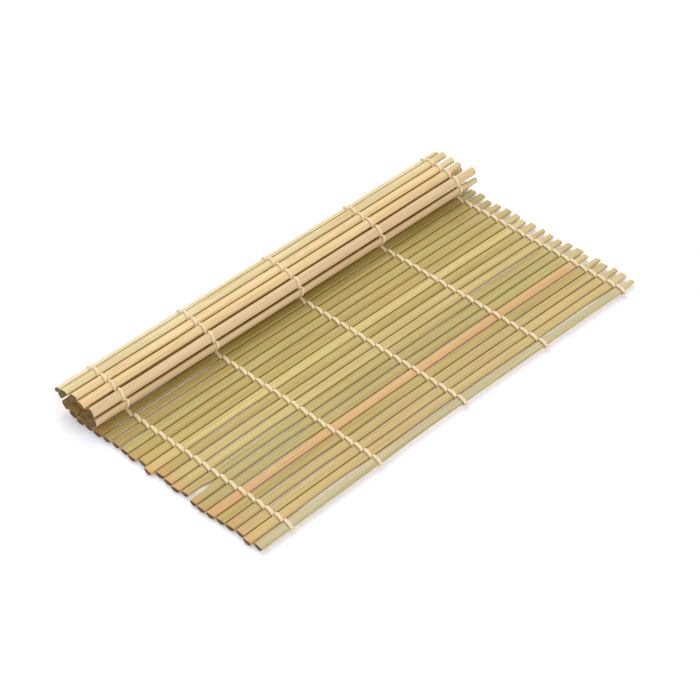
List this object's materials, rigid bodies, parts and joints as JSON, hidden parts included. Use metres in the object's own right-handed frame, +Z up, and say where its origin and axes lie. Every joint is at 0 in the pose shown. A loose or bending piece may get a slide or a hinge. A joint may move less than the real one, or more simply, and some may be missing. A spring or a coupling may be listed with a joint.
{
  "type": "sushi rolling mat",
  "caption": "Mat of split-bamboo slats laced side by side with cotton twine, its far end rolled up and its near part lying flat.",
  "frame": {"origin": "on the table under the middle of the whole mat as it lies part rolled up", "axes": "+X along the slats, +Y from the flat front edge towards the roll, +Z up"},
  "size_m": [0.2434, 0.1326, 0.0179],
  "materials": {
    "bamboo_green": "split bamboo with its smooth olive-green skin, satin",
    "bamboo_straw": "split bamboo, straw-coloured, satin",
    "bamboo_tan": "split bamboo, tan, satin",
    "bamboo_rust": "split bamboo with a rust-brown skin, satin",
    "cotton_twine": "undyed cotton twine, matt"
  },
  "bodies": {
    "slat_01": {"slat_01": "bamboo_green", "edge_knots": "cotton_twine"},
    "slat_02": {"slat_02": "bamboo_tan"},
    "slat_03": {"slat_03": "bamboo_tan"},
    "slat_04": {"slat_04": "bamboo_straw"},
    "slat_05": {"slat_05": "bamboo_green"},
    "slat_06": {"slat_06": "bamboo_rust"},
    "slat_07": {"slat_07": "bamboo_tan"},
    "slat_08": {"slat_08": "bamboo_green"},
    "slat_09": {"slat_09": "bamboo_green"},
    "slat_10": {"slat_10": "bamboo_straw"},
    "slat_11": {"slat_11": "bamboo_green"},
    "slat_12": {"slat_12": "bamboo_tan"},
    "slat_13": {"slat_13": "bamboo_green"},
    "slat_14": {"slat_14": "bamboo_green"},
    "slat_15": {"slat_15": "bamboo_straw"},
    "slat_16": {"slat_16": "bamboo_green"},
    "slat_17": {"slat_17": "bamboo_tan"},
    "slat_18": {"slat_18": "bamboo_green"},
    "slat_19": {"slat_19": "bamboo_green"},
    "slat_20": {"slat_20": "bamboo_straw"},
    "slat_21": {"slat_21": "bamboo_green", "base_lacing": "cotton_twine", "front_lacing_1": "cotton_twine", "front_lacing_2": "cotton_twine", "front_lacing_3": "cotton_twine", "front_lacing_4": "cotton_twine", "front_lacing_5": "cotton_twine", "roll_lacing_1": "cotton_twine", "roll_lacing_2": "cotton_twine", "roll_lacing_3": "cotton_twine", "roll_lacing_4": "cotton_twine", "roll_lacing_5": "cotton_twine"},
    "slat_22": {"slat_22": "bamboo_straw"},
    "slat_23": {"slat_23": "bamboo_straw"},
    "slat_24": {"slat_24": "bamboo_straw"},
    "slat_25": {"slat_25": "bamboo_straw"},
    "slat_26": {"slat_26": "bamboo_straw"},
    "slat_27": {"slat_27": "bamboo_straw"},
    "slat_28": {"slat_28": "bamboo_straw"},
    "slat_29": {"slat_29": "bamboo_straw"},
    "slat_30": {"slat_30": "bamboo_straw"},
    "slat_31": {"slat_31": "bamboo_straw"},
    "slat_32": {"slat_32": "bamboo_straw"},
    "slat_33": {"slat_33": "bamboo_straw"},
    "slat_34": {"slat_34": "bamboo_straw"},
    "slat_35": {"slat_35": "bamboo_straw"},
    "slat_36": {"slat_36": "bamboo_straw"}
  },
  "joints": [
    {"name": "curl_01_02", "type": "hinge", "parent": "slat_02", "child": "slat_01", "pos_m": [0, -0.05847, 0.00232], "axis": [-1, 0, 0], "range_deg": [0, 14]},
    {"name": "curl_02_03", "type": "hinge", "parent": "slat_03", "child": "slat_02", "pos_m": [0, -0.05288, 0.00232], "axis": [-1, 0, 0], "range_deg": [0, 14]},
    {"name": "curl_03_04", "type": "hinge", "parent": "slat_04", "child": "slat_03", "pos_m": [0, -0.04729, 0.00232], "axis": [-1, 0, 0], "range_deg": [0, 14]},
    {"name": "curl_04_05", "type": "hinge", "parent": "slat_05", "child": "slat_04", "pos_m": [0, -0.0417, 0.00232], "axis": [-1, 0, 0], "range_deg": [0, 14]},
    {"name": "curl_05_06", "type": "hinge", "parent": "slat_06", "child": "slat_05", "pos_m": [0, -0.03611, 0.00232], "axis": [-1, 0, 0], "range_deg": [0, 14]},
    {"name": "curl_06_07", "type": "hinge", "parent": "slat_07", "child": "slat_06", "pos_m": [0, -0.03052, 0.00232], "axis": [-1, 0, 0], "range_deg": [0, 14]},
    {"name": "curl_07_08", "type": "hinge", "parent": "slat_08", "child": "slat_07", "pos_m": [0, -0.02493, 0.00232], "axis": [-1, 0, 0], "range_deg": [0, 14]},
    {"name": "curl_08_09", "type": "hinge", "parent": "slat_09", "child": "slat_08", "pos_m": [0, -0.01934, 0.00232], "axis": [-1, 0, 0], "range_deg": [0, 14]},
    {"name": "curl_09_10", "type": "hinge", "parent": "slat_10", "child": "slat_09", "pos_m": [0, -0.01375, 0.00232], "axis": [-1, 0, 0], "range_deg": [0, 14]},
    {"name": "curl_10_11", "type": "hinge", "parent": "slat_11", "child": "slat_10", "pos_m": [0, -0.00816, 0.00232], "axis": [-1, 0, 0], "range_deg": [0, 14]},
    {"name": "curl_11_12", "type": "hinge", "parent": "slat_12", "child": "slat_11", "pos_m": [0, -0.00257, 0.00232], "axis": [-1, 0, 0], "range_deg": [0, 14]},
    {"name": "curl_12_13", "type": "hinge", "parent": "slat_13", "child": "slat_12", "pos_m": [0, 0.00302, 0.00232], "axis": [-1, 0, 0], "range_deg": [0, 14]},
    {"name": "curl_13_14", "type": "hinge", "parent": "slat_14", "child": "slat_13", "pos_m": [0, 0.00861, 0.00232], "axis": [-1, 0, 0], "range_deg": [0, 14]},
    {"name": "curl_14_15", "type": "hinge", "parent": "slat_15", "child": "slat_14", "pos_m": [0, 0.0142, 0.00232], "axis": [-1, 0, 0], "range_deg": [0, 14]},
    {"name": "curl_15_16", "type": "hinge", "parent": "slat_16", "child": "slat_15", "pos_m": [0, 0.01979, 0.00232], "axis": [-1, 0, 0], "range_deg": [0, 14]},
    {"name": "curl_16_17", "type": "hinge", "parent": "slat_17", "child": "slat_16", "pos_m": [0, 0.02538, 0.00232], "axis": [-1, 0, 0], "range_deg": [0, 14]},
    {"name": "curl_17_18", "type": "hinge", "parent": "slat_18", "child": "slat_17", "pos_m": [0, 0.03097, 0.00232], "axis": [-1, 0, 0], "range_deg": [0, 14]},
    {"name": "curl_18_19", "type": "hinge", "parent": "slat_19", "child": "slat_18", "pos_m": [0, 0.03656, 0.00232], "axis": [-1, 0, 0], "range_deg": [0, 14], "deforming": ["front_lacing_1", "front_lacing_2", "front_lacing_3", "front_lacing_4", "front_lacing_5"]},
    {"name": "curl_19_20", "type": "hinge", "parent": "slat_20", "child": "slat_19", "pos_m": [0, 0.04215, 0.00232], "axis": [-1, 0, 0], "range_deg": [0, 2.8]},
    {"name": "curl_20_21", "type": "hinge", "parent": "slat_21", "child": "slat_20", "pos_m": [0, 0.04774, 0.00232], "axis": [-1, 0, 0], "range_deg": [0, 2.8]},
    {"name": "unroll_21_22", "type": "hinge", "parent": "slat_21", "child": "slat_22", "pos_m": [0, 0.05333, 0.00232], "axis": [-1, 0, 0], "range_deg": [0, 8]},
    {"name": "unroll_22_23", "type": "hinge", "parent": "slat_22", "child": "slat_23", "pos_m": [0, 0.05887, 0.0031], "axis": [-1, 0, 0], "range_deg": [0, 26.12]},
    {"name": "unroll_23_24", "type": "hinge", "parent": "slat_23", "child": "slat_24", "pos_m": [0, 0.0635, 0.00623], "axis": [-1, 0, 0], "range_deg": [0, 47.89]},
    {"name": "unroll_24_25", "type": "hinge", "parent": "slat_24", "child": "slat_25", "pos_m": [0, 0.06427, 0.01177], "axis": [-1, 0, 0], "range_deg": [0, 59], "deforming": ["roll_lacing_1", "roll_lacing_2", "roll_lacing_3", "roll_lacing_4", "roll_lacing_5"]},
    {"name": "unroll_25_26", "type": "hinge", "parent": "slat_25", "child": "slat_26", "pos_m": [0, 0.05993, 0.01529], "axis": [-1, 0, 0], "range_deg": [0, 36]},
    {"name": "unroll_26_27", "type": "hinge", "parent": "slat_26", "child": "slat_27", "pos_m": [0, 0.05435, 0.01558], "axis": [-1, 0, 0], "range_deg": [0, 4]},
    {"name": "unroll_27_28", "type": "hinge", "parent": "slat_27", "child": "slat_28", "pos_m": [0, 0.04876, 0.01548], "axis": [-1, 0, 0], "range_deg": [0, 6.05]},
    {"name": "unroll_28_29", "type": "hinge", "parent": "slat_28", "child": "slat_29", "pos_m": [0, 0.04321, 0.0148], "axis": [-1, 0, 0], "range_deg": [0, 34.95]},
    {"name": "unroll_29_30", "type": "hinge", "parent": "slat_29", "child": "slat_30", "pos_m": [0, 0.03906, 0.01106], "axis": [-1, 0, 0], "range_deg": [0, 62]},
    {"name": "unroll_30_31", "type": "hinge", "parent": "slat_30", "child": "slat_31", "pos_m": [0, 0.04041, 0.00563], "axis": [-1, 0, 0], "range_deg": [0, 78]},
    {"name": "unroll_31_32", "type": "hinge", "parent": "slat_31", "child": "slat_32", "pos_m": [0, 0.046, 0.00583], "axis": [-1, 0, 0], "range_deg": [0, 2]},
    {"name": "unroll_32_33", "type": "hinge", "parent": "slat_32", "child": "slat_33", "pos_m": [0, 0.05157, 0.00622], "axis": [-1, 0, 0], "range_deg": [0, 3]},
    {"name": "unroll_33_34", "type": "hinge", "parent": "slat_33", "child": "slat_34", "pos_m": [0, 0.05712, 0.0069], "axis": [-1, 0, 0], "range_deg": [0, 88]},
    {"name": "unroll_34_35", "type": "hinge", "parent": "slat_34", "child": "slat_35", "pos_m": [0, 0.05663, 0.01247], "axis": [-1, 0, 0], "range_deg": [0, 89]},
    {"name": "unroll_35_36", "type": "hinge", "parent": "slat_35", "child": "slat_36", "pos_m": [0, 0.05106, 0.01208], "axis": [-1, 0, 0], "range_deg": [0, 9]}
  ],
  "couplings": [
    {"joint": "curl_01_02", "follows": "curl_18_19", "ratio": 1},
    {"joint": "curl_02_03", "follows": "curl_18_19", "ratio": 1},
    {"joint": "curl_03_04", "follows": "curl_18_19", "ratio": 1},
    {"joint": "curl_04_05", "follows": "curl_18_19", "ratio": 1},
    {"joint": "curl_05_06", "follows": "curl_18_19", "ratio": 1},
    {"joint": "curl_06_07", "follows": "curl_18_19", "ratio": 1},
    {"joint": "curl_07_08", "follows": "curl_18_19", "ratio": 1},
    {"joint": "curl_08_09", "follows": "curl_18_19", "ratio": 1},
    {"joint": "curl_09_10", "follows": "curl_18_19", "ratio": 1},
    {"joint": "curl_10_11", "follows": "curl_18_19", "ratio": 1},
    {"joint": "curl_11_12", "follows": "curl_18_19", "ratio": 1},
    {"joint": "curl_12_13", "follows": "curl_18_19", "ratio": 1},
    {"joint": "curl_13_14", "follows": "curl_18_19", "ratio": 1},
    {"joint": "curl_14_15", "follows": "curl_18_19", "ratio": 1},
    {"joint": "curl_15_16", "follows": "curl_18_19", "ratio": 1},
    {"joint": "curl_16_17", "follows": "curl_18_19", "ratio": 1},
    {"joint": "curl_17_18", "follows": "curl_18_19", "ratio": 1},
    {"joint": "curl_19_20", "follows": "curl_18_19", "ratio": 0.2},
    {"joint": "curl_20_21", "follows": "curl_18_19", "ratio": 0.2},
    {"joint": "unroll_21_22", "follows": "unroll_24_25", "ratio": 0.13559},
    {"joint": "unroll_22_23", "follows": "unroll_24_25", "ratio": 0.44262},
    {"joint": "unroll_23_24", "follows": "unroll_24_25", "ratio": 0.81162},
    {"joint": "unroll_25_26", "follows": "unroll_24_25", "ratio": 0.61017},
    {"joint": "unroll_26_27", "follows": "unroll_24_25", "ratio": 0.067797},
    {"joint": "unroll_27_28", "follows": "unroll_24_25", "ratio": 0.10249},
    {"joint": "unroll_28_29", "follows": "unroll_24_25", "ratio": 0.59242},
    {"joint": "unroll_29_30", "follows": "unroll_24_25", "ratio": 1.0508},
    {"joint": "unroll_30_31", "follows": "unroll_24_25", "ratio": 1.322},
    {"joint": "unroll_31_32", "follows": "unroll_24_25", "ratio": 0.033898},
    {"joint": "unroll_32_33", "follows": "unroll_24_25", "ratio": 0.050847},
    {"joint": "unroll_33_34", "follows": "unroll_24_25", "ratio": 1.4915},
    {"joint": "unroll_34_35", "follows": "unroll_24_25", "ratio": 1.5085},
    {"joint": "unroll_35_36", "follows": "unroll_24_25", "ratio": 0.15254}
  ]
}
